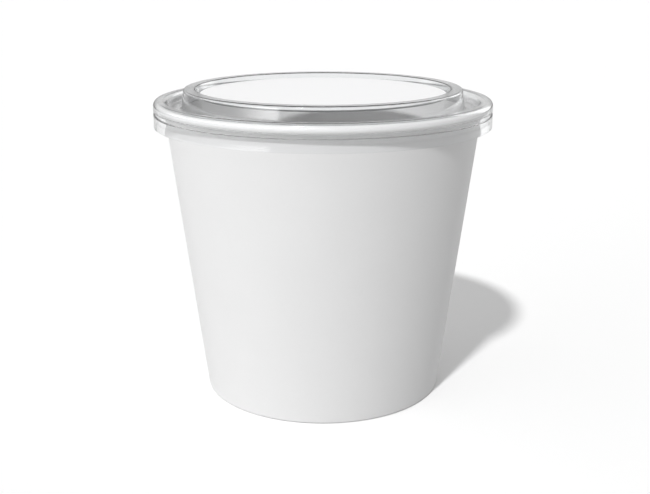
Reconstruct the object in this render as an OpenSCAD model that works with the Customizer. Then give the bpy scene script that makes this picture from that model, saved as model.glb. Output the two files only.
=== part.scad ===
// Paper food cup with a clear press-on lid.
// The cup is a leaning wall of paperboard with a rolled rim and a folded foot, round a sunk base.
// The lid is one formed sheet of clear plastic, with a white label in the recess on its top.
// Millimetres, +Z up, origin at the centre of the foot, on the surface that the cup stands on.

/* [Cup] */
// Outer radius of the side wall at the foot
foot_r = 35.5; // [28:0.5:44]
// Height from the foot to the top of the rolled rim
cup_h = 86.2; // [60:0.2:120]
// Lean of the side wall from upright, in degrees
wall_lean = 7.1; // [4:0.1:10]
// Thickness of the coated paperboard
board_t = 0.45; // [0.35:0.05:0.6]
// Thickness of the rolled rim from side to side
rim_d = 2.5; // [2.2:0.1:3.5]
// How far round the rim is rolled, in degrees
rim_roll = 300; // [240:5:305]

/* [Foot] */
// Height of the underside of the base above the foot
base_recess = 7.5; // [5:0.5:15]
// Space between the base and the hem that is folded up inside the foot
hem_gap = 1.5; // [1.3:0.1:3]
// Radius inside the fold at the foot
fold_r = 0.08; // [0.05:0.01:0.15]
// Radius inside the bend at the edge of the base
base_bend_r = 0.4; // [0.2:0.05:0.6]
// Room for the seal between two layers of board
seal_gap = 0.05; // [0.03:0.01:0.1]

/* [Side seam] */
// Direction of the side seam round the cup, in degrees
seam_dir = 90; // [0:15:345]
// Width over which the upper end of the board climbs onto the lower one, at the foot
seam_w = 10; // [7:0.5:15]

/* [Lid] */
// Thickness of the clear sheet
lid_t = 0.3; // [0.25:0.05:0.4]
// Clearance between the lid and the sides of the cup's rim
lid_gap = 0.2; // [0.1:0.05:0.3]
// Clearance between the crest of the lid and the top of the rim
seat_gap = 0.5; // [0.1:0.05:0.6]
// Height of the skirt from its lower edge to the crest over the rim
skirt_h = 7.4; // [6.8:0.1:12]
// How far the snap ring stands in from the skirt
snap_depth = 0.35; // [0.3:0.05:0.5]
// Height of the snap ring
snap_h = 1.2; // [0.8:0.1:1.4]
// How far the middle of the snap ring lies below the underside of the rim
snap_drop = 0; // [0:0.1:0.8]
// Lean of the snap ring's two ledges from upright, in degrees
snap_lean = 80; // [60:1:85]
// Depth of the plug inside the rim, below the crest
plug_depth = 3; // [2.4:0.1:8]
// Width of the valley between the plug and the raised ring
valley_w = 4.2; // [2.8:0.1:8]
// Height of the raised ring above the crest
ring_rise = 3; // [1:0.05:8]
// Lean of the raised ring's outer wall from upright, in degrees
ring_lean = 7.5; // [3:0.5:20]
// Width of the raised ring
ring_w = 3; // [2:0.1:6]
// Depth of the recess inside the raised ring
recess_d = 1.65; // [0.8:0.05:3]
// Lean of the recess wall from upright, in degrees
recess_lean = 25; // [5:1:40]

/* [Lid bends] */
// Radius inside the shoulder over the rim
shoulder_r = 1.2; // [0.8:0.05:1.4]
// Radius inside the bend from the crest down to the plug
crest_r = 0.75; // [0.4:0.05:0.9]
// Radius inside the bend from the plug into the valley
plug_foot_r = 0.5; // [0.3:0.05:0.6]
// Radius inside the bend from the valley up to the raised ring
ring_foot_bend_r = 1.2; // [0.5:0.1:1.8]
// Radius inside the bend at the outer edge of the raised ring
ring_edge_r = 0.35; // [0.2:0.05:0.6]
// Radius on both faces of the crisp bends of the recess and of the snap ring
fine_r = 0.08; // [0.05:0.01:0.15]

/* [Label] */
// Thickness of the label
label_t = 0.15; // [0.1:0.05:0.4]
// Space between the label and the recess wall
label_gap = 0.8; // [0.5:0.05:3]

/* [Hidden] */
$fn = 96;
// Largest turn between two points of a bend, in degrees
arc_step = 15;

// Horizontal thickness of the leaning board, and the spacing of its layers at the foot
board_x = board_t / cos(wall_lean);
layer_x = (board_t + seal_gap) / cos(wall_lean);
// Radius of the middle of the side wall at a height
function wall_mid(z) = foot_r - board_x / 2 + z * tan(wall_lean);

// The rolled rim: its radius along the middle of the board, where it starts, its centre and its reach
roll_r = (rim_d - board_t) / 2;
roll_z = cup_h - rim_d / 2;
roll_start_z = roll_z + roll_r * sin(wall_lean);
roll_start = [wall_mid(roll_start_z), roll_start_z];
roll_c = roll_start + roll_r * [cos(wall_lean), -sin(wall_lean)];
rim_r = roll_c[0] + rim_d / 2;
rim_under_z = roll_z - rim_d / 2;

// The foot: three layers of board, with the skirt of the base between the wall and the hem
fold_z = board_t / 2;
hem_z = base_recess - hem_gap;
base_z = base_recess + board_t / 2;
base_foot_z = board_t + board_t / 2;

// The seam: the sector it takes, and how far its sheet is shifted to stand one board out at its end
seam_turn = seam_w / foot_r * 180 / PI;
seam_from = seam_dir - seam_turn / 2;
seam_shift = board_x / sin(seam_turn);
seam_z0 = 2 * board_t;
seam_z1 = rim_under_z - board_t;

// The lid's sheet, along its middle
snap_mid_r = rim_r + lid_gap + lid_t / 2;
skirt_mid_r = snap_mid_r + snap_depth;
crest_z = cup_h + seat_gap + lid_t / 2;
lip_z = crest_z + lid_t / 2 - skirt_h;
snap_z0 = rim_under_z - snap_drop - snap_h / 2;
snap_z1 = snap_z0 + snap_h;
ledge_h = snap_depth / tan(snap_lean);
floor_z = crest_z - plug_depth;
ring_z = crest_z + ring_rise;
panel_z = ring_z - recess_d;
function plug_mid(z) = wall_mid(z) - board_x / 2 - (lid_gap + lid_t / 2) / cos(wall_lean);
ring_foot_r = plug_mid(floor_z) - valley_w;
ring_top_r = ring_foot_r - (ring_z - floor_z) * tan(ring_lean);
recess_top_r = ring_top_r - ring_w;
panel_r = recess_top_r - recess_d * tan(recess_lean);
label_r = panel_r - label_gap;

// Points of an arc about c
function arc(c, r, from, to) =
    let (n = ceil(abs(to - from) / arc_step))
    [for (i = [0:n]) let (a = from + (to - from) * i / n) c + r * [cos(a), sin(a)]];

// Direction from one point of a path to the next, and the unit vector to its left
function heading(p, q) = atan2(q[1] - p[1], q[0] - p[0]);
function left_of(a) = [-sin(a), cos(a)];
// The turn from one direction to another, between -180 and 180
function turn(a, b) = b - a > 180 ? b - a - 360 : b - a < -180 ? b - a + 360 : b - a;
function point(v) = [v[0], v[1]];

// Corners of a path along the middle of a sheet: [r, z, radius inside the bend, radius outside it]
function round_bend(r, z, inside, t) = [r, z, inside, inside + t];
function crisp_bend(r, z) = [r, z, fine_r, fine_r];

// One bend of a sheet, on the face that lies s to the left of its middle
function bend(before, corner, after, s) =
    let (
        into = heading(before, corner),
        angle = turn(into, heading(corner, after)),
        side = sign(angle),
        r = side * s > 0 ? corner[2] : corner[3],
        moved = point(corner) + s * (left_of(into) + left_of(into + angle)) / (1 + cos(angle)),
        start = moved - r * tan(abs(angle) / 2) * [cos(into), sin(into)],
        from = into - 90 * side
    )
    arc(start + side * r * left_of(into), r, from, from + angle);

function bends(path, s) =
    [for (i = [1:len(path) - 2]) each bend(path[i - 1], path[i], path[i + 1], s)];
function first_point(path, s) = point(path[0]) + s * left_of(heading(path[0], path[1]));
function last_point(path, s) =
    let (n = len(path) - 1)
    point(path[n]) + s * left_of(heading(path[n - 1], path[n]));
function sheet_side(path, s) = concat([first_point(path, s)], bends(path, s), [last_point(path, s)]);
function backwards(list) = [for (i = [len(list) - 1:-1:0]) list[i]];

// The section of a bent sheet
module sheet(path, t) {
    polygon(concat(sheet_side(path, t / 2), backwards(sheet_side(path, -t / 2))));
}

// Path of the side wall: down the hem, round the fold and up to where the rim starts to roll
wall_path = [
    [wall_mid(hem_z) - 2 * layer_x, hem_z],
    round_bend(wall_mid(fold_z) - 2 * layer_x, fold_z, fold_r, board_t),
    round_bend(wall_mid(fold_z), fold_z, fold_r, board_t),
    roll_start
];
function wall_side(s) = concat(
    [first_point(wall_path, s)],
    bends(wall_path, s),
    arc(roll_c, roll_r + s, 180 - wall_lean, 180 - wall_lean - rim_roll)
);

// Path of the base: out from the centre, then down between the wall and the hem
base_path = [
    [0, base_z],
    round_bend(wall_mid(base_z) - layer_x, base_z, base_bend_r, board_t),
    [wall_mid(base_foot_z) - layer_x, base_foot_z]
];

// Path of the lid: up the skirt, over the rim, down the plug, up the raised ring and down to the panel
lid_path = [
    [skirt_mid_r, lip_z],
    crisp_bend(skirt_mid_r, snap_z0),
    crisp_bend(snap_mid_r, snap_z0 + ledge_h),
    crisp_bend(snap_mid_r, snap_z1 - ledge_h),
    crisp_bend(skirt_mid_r, snap_z1),
    round_bend(skirt_mid_r, crest_z, shoulder_r, lid_t),
    round_bend(plug_mid(crest_z), crest_z, crest_r, lid_t),
    round_bend(plug_mid(floor_z), floor_z, plug_foot_r, lid_t),
    round_bend(ring_foot_r, floor_z, ring_foot_bend_r, lid_t),
    round_bend(ring_top_r, ring_z, ring_edge_r, lid_t),
    crisp_bend(recess_top_r, ring_z),
    crisp_bend(panel_r, panel_z),
    [0, panel_z]
];

// A band that leans with the side wall, between two distances out from its middle
module wall_band(z0, z1, from, to) {
    polygon([
        [wall_mid(z0) + from, z0],
        [wall_mid(z0) + to, z0],
        [wall_mid(z1) + to, z1],
        [wall_mid(z1) + from, z1]
    ]);
}

// The upper end of the board, which climbs onto the lower one and ends in a step
module seam() {
    difference() {
        intersection() {
            translate(seam_shift * [cos(seam_from + 90), sin(seam_from + 90), 0])
                rotate_extrude()
                    wall_band(seam_z0, seam_z1, -2 * board_x, board_x / 2);
            rotate([0, 0, seam_from])
                rotate_extrude(angle = seam_turn)
                    square([2 * rim_r, cup_h]);
        }
        rotate_extrude()
            wall_band(0, cup_h, -foot_r / 2, 0);
    }
}

module cup_wall() {
    color([0.95, 0.95, 0.94]) {
        rotate_extrude()
            polygon(concat(wall_side(board_t / 2), backwards(wall_side(-board_t / 2))));
        seam();
    }
}

module cup_base() {
    color([0.93, 0.93, 0.92])
        rotate_extrude()
            sheet(base_path, board_t);
}

module lid() {
    color([0.8, 0.84, 0.86, 0.45])
        rotate_extrude()
            sheet(lid_path, lid_t);
}

module lid_label() {
    color([0.98, 0.98, 0.98])
        translate([0, 0, panel_z + lid_t / 2])
            cylinder(r = label_r, h = label_t);
}

cup_wall();
cup_base();
lid();
lid_label();
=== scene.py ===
# %% [markdown]
# # A paper food cup with a clear press-on lid
# The cup is a wall of coated paperboard with a rolled rim, glued at the foot to a sunk base of the same
# board. The lid is one sheet of clear plastic, formed hot over a mould, with a white label in the recess on
# its top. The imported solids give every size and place. This lesson dresses them: each sheet is drawn as a
# thin line, turned round the axis and given its thickness, which is also how the sheets behave in the
# factory.

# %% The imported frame
import math

import bmesh
import bpy
from mathutils import Matrix, Vector


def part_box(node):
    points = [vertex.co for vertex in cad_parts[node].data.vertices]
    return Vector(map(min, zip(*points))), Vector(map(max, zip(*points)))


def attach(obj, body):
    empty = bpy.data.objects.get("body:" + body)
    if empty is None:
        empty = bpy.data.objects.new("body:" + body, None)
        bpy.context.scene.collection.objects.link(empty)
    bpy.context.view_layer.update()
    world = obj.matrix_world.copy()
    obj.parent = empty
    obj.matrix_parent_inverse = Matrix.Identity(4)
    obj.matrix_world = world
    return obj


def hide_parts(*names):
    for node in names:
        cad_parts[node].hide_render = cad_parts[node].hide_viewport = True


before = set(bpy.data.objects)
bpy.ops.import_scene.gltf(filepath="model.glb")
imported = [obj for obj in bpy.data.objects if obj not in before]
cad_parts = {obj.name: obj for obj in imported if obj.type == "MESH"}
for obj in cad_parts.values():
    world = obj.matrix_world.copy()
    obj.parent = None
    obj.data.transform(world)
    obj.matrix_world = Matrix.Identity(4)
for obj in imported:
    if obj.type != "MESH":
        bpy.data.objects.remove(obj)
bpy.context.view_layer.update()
print("packed pieces:", sorted(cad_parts))

# %% [markdown]
# ## Sizes
# Blender counts in metres, and the pieces of a cup are a few tenths of a millimetre thick. So lengths are
# written as millimetres times MM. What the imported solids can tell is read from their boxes, and only the
# thicknesses, bends and clearances of the sheets are written down again.

# %% Sizes read from the frame
MM = 0.001
wall_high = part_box("cup_wall")[1]
base_low, base_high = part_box("cup_base")
lid_low, lid_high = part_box("lid")
label_low, label_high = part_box("lid_label")
cup_height = wall_high.z
rim_radius = wall_high.x
print(f"cup {cup_height / MM:.1f} mm high, rim {2 * rim_radius / MM:.1f} mm wide")

# %% [markdown]
# ## Camera
# The camera stands a forearm's length away and a little above the lid, looking down at the middle of the
# cup. A longer lens from further off would flatten the ellipse of the lid, so the distance matters as much
# as the angle. The focal length is worked out from pixels: the sensor is 36 mm wide and the picture 650
# pixels wide.

# %% Camera
PICTURE_WIDTH_PX = 650
FOCAL_PX = 1009.3
AXIS_OFFSET_PX = 2
SENSOR_WIDTH = 36
CAMERA_PLACE = Vector((0, -294.5, 126.8)) * MM
CAMERA_TILT_DEG = 16.15

camera_data = bpy.data.cameras.new("camera")
camera_data.sensor_width = SENSOR_WIDTH
camera_data.lens = SENSOR_WIDTH * FOCAL_PX / PICTURE_WIDTH_PX
camera_data.shift_x = AXIS_OFFSET_PX / PICTURE_WIDTH_PX
camera_data.clip_start = 10 * MM
camera = bpy.data.objects.new("camera", camera_data)
camera.location = CAMERA_PLACE
camera.rotation_euler = (math.radians(90 - CAMERA_TILT_DEG), 0, 0)
bpy.context.scene.collection.objects.link(camera)
bpy.context.scene.camera = camera
bpy.context.scene.view_settings.view_transform = "Standard"
print(f"lens {camera_data.lens:.1f} mm")

# %% [markdown]
# ## A helper for shader nodes
# Materials here are small node trees. One helper places a node, sets the sockets that keep one value and
# joins the sockets that vary, so that each material reads as a short list of what it is made of.

# %% Node helpers
def add_node(tree, kind, values=None, links=None, **settings):
    """A node of that kind: settings are its own fields, values its plain sockets, links the joined ones."""
    node = tree.nodes.new(kind)
    for field, value in settings.items():
        setattr(node, field, value)
    for socket, value in (values or {}).items():
        node.inputs[socket].default_value = value
    for socket, source in (links or {}).items():
        tree.links.new(source, node.inputs[socket])
    return node


def empty_material(name):
    """A material with nothing but its output node."""
    material = bpy.data.materials.new(name)
    material.use_nodes = True
    material.node_tree.nodes.clear()
    output = add_node(material.node_tree, "ShaderNodeOutputMaterial")
    return material, material.node_tree, output


def grey(value):
    """A neutral colour."""
    return (value, value, value, 1)


print("node helpers ready")

# %% [markdown]
# ## Floor
# The cup stands on a white sweep of paper. The plane is so large that the camera never sees its edge. Seen
# by the camera, or straight through the clear lid, the paper is white all over. Mirrored in the lid it is
# pale round the cup and fades to a dark studio further off, which draws the dark lines along the bends of
# the plastic. The Light Path node tells these rays apart: its Glossy Depth counts how often a ray was
# mirrored. Light that scatters off the paper onto the cup meets a darker tone too: a sweep that is white
# all over would light the underside of every edge too strongly.

# %% Floor material
FLOOR_SEEN = 1
FLOOR_BOUNCE = 0.45
NEAR_MIRRORED = 0.8
FAR_MIRRORED = 0.05
SWEEP_NEAR = 0.9
SWEEP_FAR = 1.8
UNDER_ONE_BOUNCE = 0.5


def never_mirrored(tree, path):
    """1 for a ray that no surface has mirrored on its way, and 0 for the others."""
    return add_node(tree, "ShaderNodeMath", operation="LESS_THAN", values={1: UNDER_ONE_BOUNCE},
                    links={0: path["Glossy Depth"]}).outputs[0]


def make_floor_material():
    material, tree, output = empty_material("white_sweep")
    place = add_node(tree, "ShaderNodeTexCoord").outputs["Object"]
    away = add_node(tree, "ShaderNodeVectorMath", operation="LENGTH", links={0: place})
    mirrored = add_node(tree, "ShaderNodeMapRange", interpolation_type="SMOOTHSTEP",
                        links={0: away.outputs["Value"]},
                        values={"From Min": SWEEP_NEAR, "From Max": SWEEP_FAR,
                                "To Min": NEAR_MIRRORED, "To Max": FAR_MIRRORED})
    path = add_node(tree, "ShaderNodeLightPath").outputs
    seen = add_node(tree, "ShaderNodeMix", data_type="FLOAT", values={3: FLOOR_SEEN},
                    links={0: never_mirrored(tree, path), 2: mirrored.outputs[0]})
    tone = add_node(tree, "ShaderNodeMix", data_type="FLOAT", values={3: FLOOR_BOUNCE},
                    links={0: path["Is Diffuse Ray"], 2: seen.outputs[0]})
    paper = add_node(tree, "ShaderNodeBsdfDiffuse", links={"Color": tone.outputs[0]})
    tree.links.new(paper.outputs[0], output.inputs["Surface"])
    return material


floor_material = make_floor_material()
print("floor material", floor_material.name, "with", len(floor_material.node_tree.nodes), "nodes")

# %% Floor
FLOOR_HALF_WIDTH = 12

floor_shape = bmesh.new()
bmesh.ops.create_grid(floor_shape, x_segments=1, y_segments=1, size=FLOOR_HALF_WIDTH)
floor_mesh = bpy.data.meshes.new("floor")
floor_shape.to_mesh(floor_mesh)
floor_shape.free()
floor = bpy.data.objects.new("floor", floor_mesh)
floor.data.materials.append(floor_material)
bpy.context.scene.collection.objects.link(floor)
print("floor", 2 * FLOOR_HALF_WIDTH, "m wide")

# %% [markdown]
# ## Light
# A key light, high on the left behind the camera, casts the one soft-edged shadow to the right. The rest is
# a studio tent: an even sky with two bright windows low on the left, which round the body and leave the
# highlight on the raised ring of the lid. A narrow window behind the cup on the right lifts its dark edge,
# and a faint glow all along the back shows in the flat top of the lid. The windows are painted on the sky
# by direction instead of being lamps nearby, so the floor stays evenly lit. To the camera, also straight
# through the lid, the sky is plain white.

# %% Empty sky
world = bpy.data.worlds.new("studio")
bpy.context.scene.world = world
world.use_nodes = True
sky = world.node_tree
sky.nodes.clear()
direction = add_node(sky, "ShaderNodeTexCoord").outputs["Generated"]
towards = add_node(sky, "ShaderNodeSeparateXYZ", links={0: direction}).outputs
print("empty sky", world.name)

# %% Sky helpers
WINDOW_EDGE = 0.04


def sky_step(value, at, soft, falling=False):
    """0 before a place on the sky and 1 after it, or the other way round, with a soft edge."""
    ends = (1, 0) if falling else (0, 1)
    return add_node(sky, "ShaderNodeMapRange", interpolation_type="SMOOTHSTEP", links={"Value": value},
                    values={"From Min": at - soft, "From Max": at + soft,
                            "To Min": ends[0], "To Max": ends[1]}).outputs[0]


def sky_maths(operation, first, second):
    """What an operation makes of two sockets, or of a socket and a number."""
    node = add_node(sky, "ShaderNodeMath", operation=operation, links={0: first})
    if isinstance(second, (int, float)):
        node.inputs[1].default_value = second
    else:
        sky.links.new(second, node.inputs[1])
    return node.outputs[0]


def sky_window(left_deg, right_deg, low, high, left_soft_deg, right_soft_deg, strength):
    """A bright patch between two azimuths, 0 towards the camera, and two heights on a sky of radius 1."""
    edges = (
        sky_step(azimuth, math.radians(left_deg), math.radians(left_soft_deg)),
        sky_step(azimuth, math.radians(right_deg), math.radians(right_soft_deg), falling=True),
        sky_step(towards["Z"], low, WINDOW_EDGE),
        sky_step(towards["Z"], high, WINDOW_EDGE, falling=True),
    )
    patch = edges[0]
    for edge in edges[1:]:
        patch = sky_maths("MULTIPLY", patch, edge)
    return sky_maths("MULTIPLY", patch, strength)


azimuth = sky_maths("ARCTAN2", towards["X"], sky_maths("MULTIPLY", towards["Y"], -1))
print("windows have edges", 2 * WINDOW_EDGE, "of the sky's radius high")

# %% Sky windows
SKY_LIGHT = 0.4
LEFT_WINDOW = 3.8
LEFT_FILL = 1.8
RIGHT_WINDOW = 1.2
BACK_GLOW = 0.17
BACK_EDGE = 0.5
BACK_SOFT = 0.3

windows = (
    sky_window(left_deg=-58, right_deg=-35, low=0.03, high=0.2,
               left_soft_deg=20, right_soft_deg=3, strength=LEFT_WINDOW),
    sky_window(left_deg=-120, right_deg=-45, low=0.12, high=0.4,
               left_soft_deg=15, right_soft_deg=15, strength=LEFT_FILL),
    sky_window(left_deg=128, right_deg=152, low=0, high=0.6,
               left_soft_deg=6, right_soft_deg=6, strength=RIGHT_WINDOW),
    sky_maths("MULTIPLY", sky_step(towards["Y"], BACK_EDGE, BACK_SOFT), BACK_GLOW),
)
sky_light = windows[0]
for window in windows[1:]:
    sky_light = sky_maths("ADD", sky_light, window)
sky_light = sky_maths("ADD", sky_light, SKY_LIGHT)
print("sky at", SKY_LIGHT, "with", len(windows), "windows")

# %% Sky
SKY_SEEN = 1

sky_path = add_node(sky, "ShaderNodeLightPath").outputs
seen_or_seen_through = sky_maths("MAXIMUM", sky_path["Is Camera Ray"], sky_path["Is Transmission Ray"])
shown_white = sky_maths("MULTIPLY", seen_or_seen_through, never_mirrored(sky, sky_path))
strength = add_node(sky, "ShaderNodeMix", data_type="FLOAT", values={3: SKY_SEEN},
                    links={0: shown_white, 2: sky_light})
sky_glow = add_node(sky, "ShaderNodeBackground", values={"Color": grey(1)},
                    links={"Strength": strength.outputs[0]})
add_node(sky, "ShaderNodeOutputWorld", links={"Surface": sky_glow.outputs[0]})
print("sky has", len(sky.nodes), "nodes")

# %% Key light
KEY_TOWARDS = Vector((-0.29, -0.77, 1))
KEY_STRENGTH = 1.95
KEY_SPREAD_DEG = 4

key_data = bpy.data.lights.new("key_light", "SUN")
key_data.energy = KEY_STRENGTH
key_data.angle = math.radians(KEY_SPREAD_DEG)
key_light = bpy.data.objects.new("key_light", key_data)
key_light.location = KEY_TOWARDS
key_light.rotation_euler = KEY_TOWARDS.to_track_quat("Z", "Y").to_euler()
bpy.context.scene.collection.objects.link(key_light)
print("key light", KEY_STRENGTH, "W/m2")

# %% [markdown]
# ## Coated paperboard
# Cup board is bleached pulp with a thin coat of plastic. From a step away it is an even, satin white. Close
# up the fibres under the coat leave a fine unevenness, and the shade drifts a little from place to place.
# Both papers of this object share that look, so it is a node group with its own scale and contrast: it
# gives a shade to multiply the colour by, and a height that feeds a bump.

# %% Fibre group
def make_fibre_group():
    group = bpy.data.node_groups.new("paper_fibre", "ShaderNodeTree")
    sockets = group.interface
    sockets.new_socket("Fibre Scale", in_out="INPUT", socket_type="NodeSocketFloat")
    sockets.new_socket("Drift Scale", in_out="INPUT", socket_type="NodeSocketFloat")
    sockets.new_socket("Contrast", in_out="INPUT", socket_type="NodeSocketFloat")
    sockets.new_socket("Shade", in_out="OUTPUT", socket_type="NodeSocketFloat")
    sockets.new_socket("Height", in_out="OUTPUT", socket_type="NodeSocketFloat")
    given = add_node(group, "NodeGroupInput").outputs
    place = add_node(group, "ShaderNodeTexCoord").outputs["Object"]
    fibre = add_node(group, "ShaderNodeTexNoise", values={"Detail": 5, "Roughness": 0.62, "Distortion": 0.7},
                     links={"Vector": place, "Scale": given["Fibre Scale"]})
    drift = add_node(group, "ShaderNodeTexNoise", values={"Detail": 2},
                     links={"Vector": place, "Scale": given["Drift Scale"]})
    both = add_node(group, "ShaderNodeMath", operation="ADD",
                    links={0: fibre.outputs["Fac"], 1: drift.outputs["Fac"]})
    signed = add_node(group, "ShaderNodeMath", operation="SUBTRACT", values={1: 1},
                      links={0: both.outputs[0]})
    shade = add_node(group, "ShaderNodeMath", operation="MULTIPLY_ADD", values={2: 1},
                     links={0: signed.outputs[0], 1: given["Contrast"]})
    result = add_node(group, "NodeGroupOutput")
    group.links.new(shade.outputs[0], result.inputs["Shade"])
    group.links.new(fibre.outputs["Fac"], result.inputs["Height"])
    return group


fibre_group = make_fibre_group()
print("group", fibre_group.name, "with", len(fibre_group.nodes), "nodes")

# %% Paper materials
def make_paper(name, colour, contrast, fibre_scale, drift_scale, bump_depth, smooth, rough, shine):
    """Paper whose shade and roughness drift together: where fibres stand up, it is duller and lighter."""
    material, tree, output = empty_material(name)
    fibre = add_node(tree, "ShaderNodeGroup", node_tree=fibre_group, values={
        "Fibre Scale": fibre_scale, "Drift Scale": drift_scale, "Contrast": contrast})
    tint = add_node(tree, "ShaderNodeVectorMath", operation="SCALE", values={0: colour},
                    links={"Scale": fibre.outputs["Shade"]})
    sheen = add_node(tree, "ShaderNodeMapRange", links={"Value": fibre.outputs["Height"]},
                     values={"From Min": 0.3, "From Max": 0.7, "To Min": smooth, "To Max": rough})
    bump = add_node(tree, "ShaderNodeBump", values={"Strength": 0.25, "Distance": bump_depth},
                    links={"Height": fibre.outputs["Height"]})
    paper = add_node(tree, "ShaderNodeBsdfPrincipled", values={"Specular IOR Level": shine}, links={
        "Base Color": tint.outputs[0], "Roughness": sheen.outputs[0], "Normal": bump.outputs[0]})
    tree.links.new(paper.outputs[0], output.inputs["Surface"])
    return material


paperboard = make_paper("paperboard", colour=(0.9, 0.9, 0.9), contrast=0.03, fibre_scale=1400,
                        drift_scale=70, bump_depth=0.03 * MM, smooth=0.42, rough=0.56, shine=0.4)
label_paper = make_paper("label_paper", colour=(0.985, 0.985, 0.99), contrast=0.015, fibre_scale=2200,
                         drift_scale=40, bump_depth=0.015 * MM, smooth=0.34, rough=0.46, shine=0.05)
print("papers:", paperboard.name, label_paper.name)

# %% [markdown]
# ## Clear plastic
# The lid is a glass-clear packaging plastic with a refractive index of about 1.5. Forming leaves faint long
# waves in the sheet and a trace of haze, which a slow noise gives to the bump and the roughness. A path
# tracer treats a clear wall as solid for shadows, so the cup under the lid would go black: the material
# turns plainly see-through for shadow rays, and the lamps reach the inside. Rays that scatter off the paper
# go the same plain way, or the light that a bent ray finds through the sheet would be counted twice.

# %% Plastic material
PLASTIC_INDEX = 1.5
PLASTIC_TINT = (0.96, 0.965, 0.97, 1)
LIGHT_PASSED = 0.985


def make_clear_plastic():
    material, tree, output = empty_material("clear_plastic")
    place = add_node(tree, "ShaderNodeTexCoord").outputs["Object"]
    waves = add_node(tree, "ShaderNodeTexNoise", values={"Scale": 55, "Detail": 1}, links={"Vector": place})
    haze = add_node(tree, "ShaderNodeTexNoise", values={"Scale": 160, "Detail": 4}, links={"Vector": place})
    rough = add_node(tree, "ShaderNodeMapRange", links={"Value": haze.outputs["Fac"]},
                     values={"From Min": 0.35, "From Max": 0.7, "To Min": 0.015, "To Max": 0.05})
    bump = add_node(tree, "ShaderNodeBump", values={"Strength": 0.03, "Distance": 0.05 * MM},
                    links={"Height": waves.outputs["Fac"]})
    plastic = add_node(tree, "ShaderNodeBsdfPrincipled",
                       values={"Base Color": PLASTIC_TINT, "Transmission Weight": 1, "IOR": PLASTIC_INDEX},
                       links={"Roughness": rough.outputs[0], "Normal": bump.outputs[0]})
    open_way = add_node(tree, "ShaderNodeBsdfTransparent", values={"Color": grey(LIGHT_PASSED)})
    path = add_node(tree, "ShaderNodeLightPath")
    to_paper = add_node(tree, "ShaderNodeMixShader", links={
        0: path.outputs["Is Diffuse Ray"], 1: plastic.outputs[0], 2: open_way.outputs[0]})
    to_lamps = add_node(tree, "ShaderNodeMixShader", links={
        0: path.outputs["Is Shadow Ray"], 1: to_paper.outputs[0], 2: open_way.outputs[0]})
    tree.links.new(to_lamps.outputs[0], output.inputs["Surface"])
    return material


clear_plastic = make_clear_plastic()
print("plastic", clear_plastic.name, "index", PLASTIC_INDEX)

# %% [markdown]
# ## Drawing a bent sheet
# A formed sheet has one thickness all over, so it is enough to draw the middle of its section: a few corner
# points in the XZ plane, each with the radius of its bend. Bevelling a corner vertex of the wire swaps it
# for an arc. Turning the wire round Z gives the sheet, and a Solidify modifier gives it thickness to both
# sides. Vertex normals are then weighted by face area, so the flat stretches stay flat right up to the
# bends.

# %% Helpers for sheets
TURN_STEPS = 240
BEND_STEPS = 8
MERGE_DISTANCE = 0.001 * MM


def bend_length(before, corner, after):
    """How far from a corner its arc starts, along both edges."""
    into = math.atan2(corner[1] - before[1], corner[0] - before[0])
    out = math.atan2(after[1] - corner[1], after[0] - corner[0])
    turn = abs((out - into + math.pi) % (2 * math.pi) - math.pi)
    return corner[2] * math.tan(turn / 2)


def bent_wire(corners):
    """A wire through corners of (radius, height, bend radius)."""
    shape = bmesh.new()
    points = [shape.verts.new((corner[0], 0, corner[1])) for corner in corners]
    for first, second in zip(points, points[1:]):
        shape.edges.new((first, second))
    for i in range(1, len(corners) - 1):
        bmesh.ops.bevel(shape, geom=[points[i]], offset=bend_length(*corners[i - 1:i + 2]),
                        offset_type="OFFSET", segments=BEND_STEPS, profile=0.5,
                        affect="VERTICES", material=-1)
    return shape


def turn_round_axis(shape):
    """Spins a wire about Z into a closed round of faces that all look the same way."""
    bmesh.ops.spin(shape, geom=shape.verts[:] + shape.edges[:], cent=(0, 0, 0), axis=(0, 0, 1),
                   angle=2 * math.pi, steps=TURN_STEPS, use_merge=True)
    bmesh.ops.remove_doubles(shape, verts=shape.verts[:], dist=MERGE_DISTANCE)
    bmesh.ops.recalc_face_normals(shape, faces=shape.faces[:])


def finish_piece(shape, name, material):
    """Turns a bmesh into an object of the scene."""
    mesh = bpy.data.meshes.new(name)
    for face in shape.faces:
        face.smooth = True
    shape.to_mesh(mesh)
    shape.free()
    mesh.materials.append(material)
    piece = bpy.data.objects.new(name, mesh)
    bpy.context.scene.collection.objects.link(piece)
    return piece


def thicken(piece, thickness):
    """Gives a sheet its thickness, half to each side of the drawn surface."""
    wall = piece.modifiers.new("thickness", "SOLIDIFY")
    wall.thickness = thickness
    wall.offset = 0
    wall.use_even_offset = True
    wall.use_quality_normals = True


def even_shading(piece):
    """Weights the vertex normals by face area."""
    piece.modifiers.new("even shading", "WEIGHTED_NORMAL")


print("each full turn has", TURN_STEPS, "steps")

# %% [markdown]
# ## Side wall of the cup
# The wall is a fan of board wrapped into a cone. Its lower edge is folded up inside the foot as a hem, and
# its upper edge is rolled outwards into the rim. The section is drawn from the hem, round the fold and up
# the cone. The roll is one vertex spun about the middle of the rim, which draws its arc as a chain of
# edges.

# %% Cup wall section
BOARD_T = 0.45 * MM
WALL_LEAN = math.radians(7.1)
RIM_THICKNESS = 2.5 * MM
RIM_ROLL_DEG = 300
ROLL_STEPS = 48
FOLD_RADIUS = 0.08 * MM
SEAL_GAP = 0.05 * MM
HEM_GAP = 1.5 * MM

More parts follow.
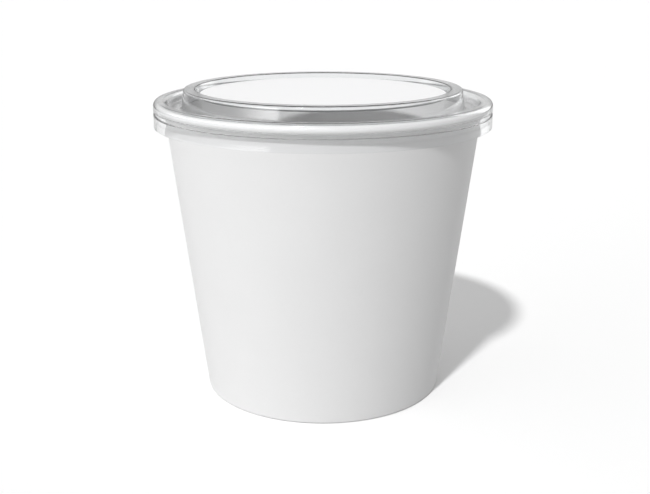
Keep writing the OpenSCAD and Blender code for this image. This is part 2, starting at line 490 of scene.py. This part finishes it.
roll_radius = (RIM_THICKNESS - BOARD_T) / 2
roll_middle = Vector((rim_radius - RIM_THICKNESS / 2, 0, cup_height - RIM_THICKNESS / 2))
roll_start = roll_middle + roll_radius * Vector((-math.cos(WALL_LEAN), 0, math.sin(WALL_LEAN)))
board_x = BOARD_T / math.cos(WALL_LEAN)
layer_x = (BOARD_T + SEAL_GAP) / math.cos(WALL_LEAN)
base_z = base_high.z - BOARD_T / 2


def wall_middle(z):
    """Radius of the middle of the leaning board at a height."""
    return roll_start.x - (roll_start.z - z) * math.tan(WALL_LEAN)


hem_z = base_z - BOARD_T / 2 - HEM_GAP
fold_z = BOARD_T / 2
fold_bend = FOLD_RADIUS + BOARD_T / 2
wall_shape = bent_wire([
    (wall_middle(hem_z) - 2 * layer_x, hem_z, 0),
    (wall_middle(fold_z) - 2 * layer_x, fold_z, fold_bend),
    (wall_middle(fold_z), fold_z, fold_bend),
    (roll_start.x, roll_start.z, 0),
])
wire_top = max(wall_shape.verts, key=lambda point: point.co.z)
bmesh.ops.spin(wall_shape, geom=[wire_top], cent=roll_middle, axis=(0, 1, 0),
               angle=math.radians(RIM_ROLL_DEG), steps=ROLL_STEPS)
print(f"wall section has {len(wall_shape.verts)} points, foot radius {wall_middle(0) / MM:.2f} mm")

# %% Cup wall
turn_round_axis(wall_shape)
cup_wall = finish_piece(wall_shape, "cup_wall_board", paperboard)
thicken(cup_wall, BOARD_T)
print("cup wall has", len(cup_wall.data.polygons), "faces before its thickness")

# %% [markdown]
# ## Side seam
# Where the ends of the fan overlap, the outer end lies on the inner one and stops in a step one board high.
# It faces away from the camera. The finished wall is cut along the lines where the lap starts and stops,
# the patch between them is extruded, and its new points move outwards in proportion to their way along the
# lap.

# %% Seam
SEAM_DIRECTION = math.radians(90)
SEAM_WIDTH = 10 * MM
SEAM_MARGIN = 1
FACING_OUT = 0.9

foot_radius = wall_middle(0) + board_x / 2
seam_turn = SEAM_WIDTH / foot_radius
seam_start = SEAM_DIRECTION - seam_turn / 2
seam_low = 2 * BOARD_T
seam_high = cup_height - RIM_THICKNESS - BOARD_T


def bake_modifiers(piece):
    """Replaces a piece's mesh by what its modifiers make of it."""
    seen = piece.evaluated_get(bpy.context.evaluated_depsgraph_get())
    baked = bpy.data.meshes.new_from_object(seen)
    piece.modifiers.clear()
    piece.data = baked


def along_seam(point):
    """0 where the lap starts and 1 where it stops."""
    return (math.atan2(point.y, point.x) - seam_start) / seam_turn


def is_outer_skin(face):
    """True on the leaning outside of the wall, on the lap and as far again to both sides."""
    middle = face.calc_center_median()
    out = Vector((middle.x, middle.y, 0))
    is_outside = face.normal.dot(out.normalized()) > FACING_OUT and out.length > wall_middle(middle.z)
    is_near = -SEAM_MARGIN < along_seam(middle) < 1 + SEAM_MARGIN
    return is_outside and is_near and middle.z < seam_high + BOARD_T


def raise_seam(shape):
    """Cuts the lap out of the wall's outer skin and ramps it up to a step."""
    cuts = [((0, 0, 0), (-math.sin(turn), math.cos(turn), 0))
            for turn in (seam_start, seam_start + seam_turn)]
    cuts += [((0, 0, height), (0, 0, 1)) for height in (seam_low, seam_high)]
    for place, across in cuts:
        skin = [face for face in shape.faces if is_outer_skin(face)]
        rims = dict.fromkeys(item for face in skin for item in (*face.verts, *face.edges))
        part = list(rims) + skin
        bmesh.ops.bisect_plane(shape, geom=part, dist=MERGE_DISTANCE, plane_co=place, plane_no=across)
    lap = [face for face in shape.faces if is_outer_skin(face)
           and 0 < along_seam(face.calc_center_median()) < 1
           and seam_low < face.calc_center_median().z < seam_high]
    lap_edges = list(dict.fromkeys(edge for face in lap for edge in face.edges))
    raised = bmesh.ops.extrude_face_region(shape, geom=lap + lap_edges)["geom"]
    for point in (item for item in raised if isinstance(item, bmesh.types.BMVert)):
        out = Vector((point.co.x, point.co.y, 0)).normalized()
        point.co += out * board_x * min(max(along_seam(point.co), 0), 1)
    bmesh.ops.remove_doubles(shape, verts=shape.verts[:], dist=MERGE_DISTANCE)
    return len(lap)


bake_modifiers(cup_wall)
seam_shape = bmesh.new()
seam_shape.from_mesh(cup_wall.data)
lap_faces = raise_seam(seam_shape)
open_edges = sum(not edge.is_manifold for edge in seam_shape.edges)
seam_shape.to_mesh(cup_wall.data)
seam_shape.free()
even_shading(cup_wall)
print(lap_faces, "faces in the lap,", open_edges, "open edges in the wall")

# %% [markdown]
# ## Sunk base
# The base is a disc of the same board, with its edge bent down between the wall and the hem. It is the same
# kind of piece as the wall, so the same three steps make it: wire, turn and thickness.

# %% Cup base
BASE_BEND_RADIUS = 0.4 * MM

base_shape = bent_wire([
    (0, base_z, 0),
    (wall_middle(base_z) - layer_x, base_z, BASE_BEND_RADIUS + BOARD_T / 2),
    (wall_middle(base_low.z) - layer_x, base_low.z, 0),
])
turn_round_axis(base_shape)
cup_base = finish_piece(base_shape, "cup_base_board", paperboard)
thicken(cup_base, BOARD_T)
even_shading(cup_base)
print(f"base {base_z / MM:.1f} mm above the floor")

# %% [markdown]
# ## Clear lid
# The lid shows the most craft: one sheet goes up the skirt with its snap ring, over the rim, down the plug
# inside the rim, along a valley, up the raised ring and down into the recess. Its section has eleven bends.
# Most bends are round, but the ledges of the snap ring and the recess are pressed crisp on both faces of
# the sheet, which a Solidify modifier can't do. So the section is drawn as a closed line, along one face
# and back on the other, with the bend of each face on its own. The places come from the cup and the packed
# lid.

# %% Lid section
LID_T = 0.3 * MM
LID_GAP = 0.2 * MM
SEAT_GAP = 0.5 * MM
SNAP_DEPTH = 0.35 * MM
SNAP_HEIGHT = 1.2 * MM
SNAP_LEAN = math.radians(80)
PLUG_DEPTH = 3 * MM
VALLEY_WIDTH = 4.2 * MM
RING_LEAN = math.radians(7.5)
RING_WIDTH = 3 * MM
RECESS_LEAN = math.radians(25)
SHOULDER_BEND = 1.2 * MM
CREST_BEND = 0.75 * MM
PLUG_FOOT_BEND = 0.5 * MM
RING_FOOT_BEND = 1.2 * MM
RING_EDGE_BEND = 0.35 * MM
FINE_BEND = 0.08 * MM

skirt_r = lid_high.x - LID_T / 2
snap_r = skirt_r - SNAP_DEPTH
snap_low = cup_height - RIM_THICKNESS - SNAP_HEIGHT / 2
snap_high = snap_low + SNAP_HEIGHT
ledge = SNAP_DEPTH / math.tan(SNAP_LEAN)
crest_z = cup_height + SEAT_GAP + LID_T / 2
valley_z = crest_z - PLUG_DEPTH
ring_z = lid_high.z - LID_T / 2
panel_z = label_low.z - LID_T / 2


def plug_middle(z):
    """Radius of the middle of the plug, which follows the inside of the cup."""
    return wall_middle(z) - board_x / 2 - (LID_GAP + LID_T / 2) / math.cos(WALL_LEAN)


ring_foot_r = plug_middle(valley_z) - VALLEY_WIDTH
ring_edge_r = ring_foot_r - (ring_z - valley_z) * math.tan(RING_LEAN)
recess_r = ring_edge_r - RING_WIDTH
panel_r = recess_r - (ring_z - panel_z) * math.tan(RECESS_LEAN)
lid_middle = [
    (skirt_r, lid_low.z, 0, 0),
    (skirt_r, snap_low, FINE_BEND, FINE_BEND),
    (snap_r, snap_low + ledge, FINE_BEND, FINE_BEND),
    (snap_r, snap_high - ledge, FINE_BEND, FINE_BEND),
    (skirt_r, snap_high, FINE_BEND, FINE_BEND),
    (skirt_r, crest_z, SHOULDER_BEND, SHOULDER_BEND + LID_T),
    (plug_middle(crest_z), crest_z, CREST_BEND, CREST_BEND + LID_T),
    (plug_middle(valley_z), valley_z, PLUG_FOOT_BEND, PLUG_FOOT_BEND + LID_T),
    (ring_foot_r, valley_z, RING_FOOT_BEND, RING_FOOT_BEND + LID_T),
    (ring_edge_r, ring_z, RING_EDGE_BEND, RING_EDGE_BEND + LID_T),
    (recess_r, ring_z, FINE_BEND, FINE_BEND),
    (panel_r, panel_z, FINE_BEND, FINE_BEND),
    (0, panel_z, 0, 0),
]


def face_of_sheet(middle, shift):
    """Corners of the face of a sheet that lies to the left of its middle line by shift."""
    places = [Vector(corner[:2]) for corner in middle]
    ways = [(second - first).normalized() for first, second in zip(places, places[1:])]
    corners = []
    for place, corner, into, out in zip(places, middle, ways[:1] + ways, ways + ways[-1:]):
        lefts = Vector((-into.y - out.y, into.x + out.x))
        moved = place + lefts * shift / (1 + into.dot(out))
        inside, outside = corner[2:]
        turns_left = into.x * out.y - into.y * out.x > 0
        corners.append((moved.x, moved.y, inside if turns_left == (shift > 0) else outside))
    return corners


top_face = face_of_sheet(lid_middle, LID_T / 2)
under_face = face_of_sheet(lid_middle, -LID_T / 2)
lid_shape = bent_wire(top_face[::-1] + under_face)
print(f"lid section has {len(lid_shape.verts)} points, ring {2 * ring_edge_r / MM:.1f} mm wide")

# %% Lid
turn_round_axis(lid_shape)
open_edges = sum(not edge.is_manifold for edge in lid_shape.edges)
lid_volume = lid_shape.calc_volume(signed=True)
lid = finish_piece(lid_shape, "clear_lid", clear_plastic)
even_shading(lid)
print(f"lid has {len(lid.data.polygons)} faces, {open_edges} open edges and {lid_volume / MM**3:.0f} mm3")

# %% [markdown]
# ## Label
# A disc of white paper lies in the recess. A circle with a filled cap is extruded by the thickness of the
# paper, and its upper edge is bevelled, because a punched edge is slightly rounded and catches a thin line
# of light.

# %% Label
LABEL_EDGE = 0.05 * MM
LABEL_EDGE_STEPS = 3

label_radius = label_high.x
label_shape = bmesh.new()
bmesh.ops.create_circle(label_shape, cap_ends=True, radius=label_radius, segments=TURN_STEPS,
                        matrix=Matrix.Translation((0, 0, label_low.z)))
label_top = bmesh.ops.extrude_face_region(label_shape, geom=label_shape.faces[:], use_keep_orig=True)["geom"]
bmesh.ops.translate(label_shape, vec=(0, 0, label_high.z - label_low.z),
                    verts=[item for item in label_top if isinstance(item, bmesh.types.BMVert)])
bmesh.ops.recalc_face_normals(label_shape, faces=label_shape.faces[:])
label_edge = [edge for edge in label_shape.edges
              if all(vert.co.z > label_high.z - LABEL_EDGE for vert in edge.verts)]
bmesh.ops.bevel(label_shape, geom=label_edge, offset=LABEL_EDGE, offset_type="OFFSET",
                segments=LABEL_EDGE_STEPS, profile=0.5, affect="EDGES", material=-1)
label = finish_piece(label_shape, "lid_label_disc", label_paper)
even_shading(label)
print(f"label {2 * label_radius / MM:.1f} mm wide")

# %% [markdown]
# ## What moves with what
# The cup and the lid are two bodies, joined by the pull that lifts the lid off. Each dressed piece rides on
# its body, and the imported solid that it dresses is hidden.

# %% Bodies
for piece, body, node, slot in (
    (cup_wall, "cup", "cup_wall", "paperboard"),
    (cup_base, "cup", "cup_base", "paperboard"),
    (lid, "lid", "lid", "clear_plastic"),
    (label, "lid", "lid_label", "label_paper"),
):
    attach(piece, body)
    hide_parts(node)
    print(piece.name, "rides on", body)
